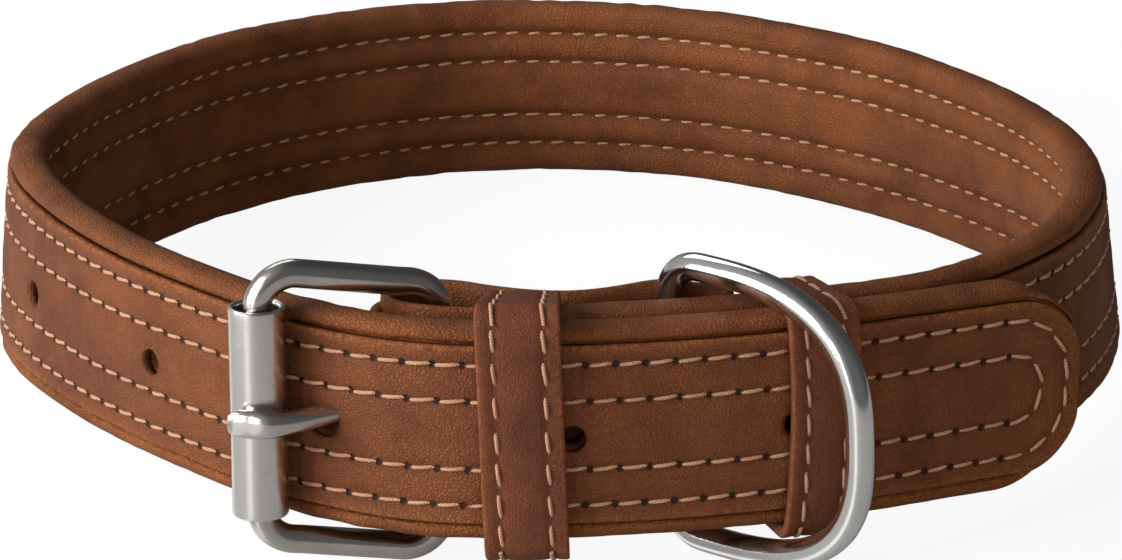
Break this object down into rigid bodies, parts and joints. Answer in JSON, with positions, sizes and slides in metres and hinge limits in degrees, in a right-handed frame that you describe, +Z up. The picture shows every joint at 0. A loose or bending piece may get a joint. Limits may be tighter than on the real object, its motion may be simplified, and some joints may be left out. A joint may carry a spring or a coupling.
{
  "type": "dog collar",
  "caption": "Padded leather dog collar fastened in a loop, with a roller buckle, strap keepers and a swinging lead ring.",
  "frame": {"origin": "on the floor under the middle of the collar's bounding box", "axes": "+Z up along the neck's axis, -Y the buckle side that the picture shows, +X towards the strap's free tip"},
  "size_m": [0.2186, 0.242, 0.0562],
  "materials": {
    "strap_leather": "waxed brown leather",
    "lining_leather": "soft brown leather over padding",
    "keeper_leather": "smooth red-brown leather",
    "frame_steel": "polished steel wire",
    "roller_steel": "satin steel tube",
    "ring_steel": "bright polished steel wire"
  },
  "bodies": {
    "collar": {"outer_strip": "strap_leather", "padded_lining": "lining_leather", "buckle_frame": "frame_steel", "buckle_tongue": "frame_steel", "first_keeper": "keeper_leather", "second_keeper": "keeper_leather"},
    "roller": {"buckle_roller": "roller_steel"},
    "ring": {"lead_ring": "ring_steel"}
  },
  "joints": [
    {"name": "ring_swing", "type": "hinge", "parent": "collar", "child": "ring", "pos_m": [0.01981, -0.08781, 0.02731], "axis": [0.0306, -0.0664, -0.9973], "range_deg": [0, 74]},
    {"name": "roller_spin", "type": "hinge", "parent": "collar", "child": "roller", "pos_m": [-0.05161, -0.10028, 0.02964], "axis": [0, 0.0423, 0.9991], "continuous": true}
  ]
}
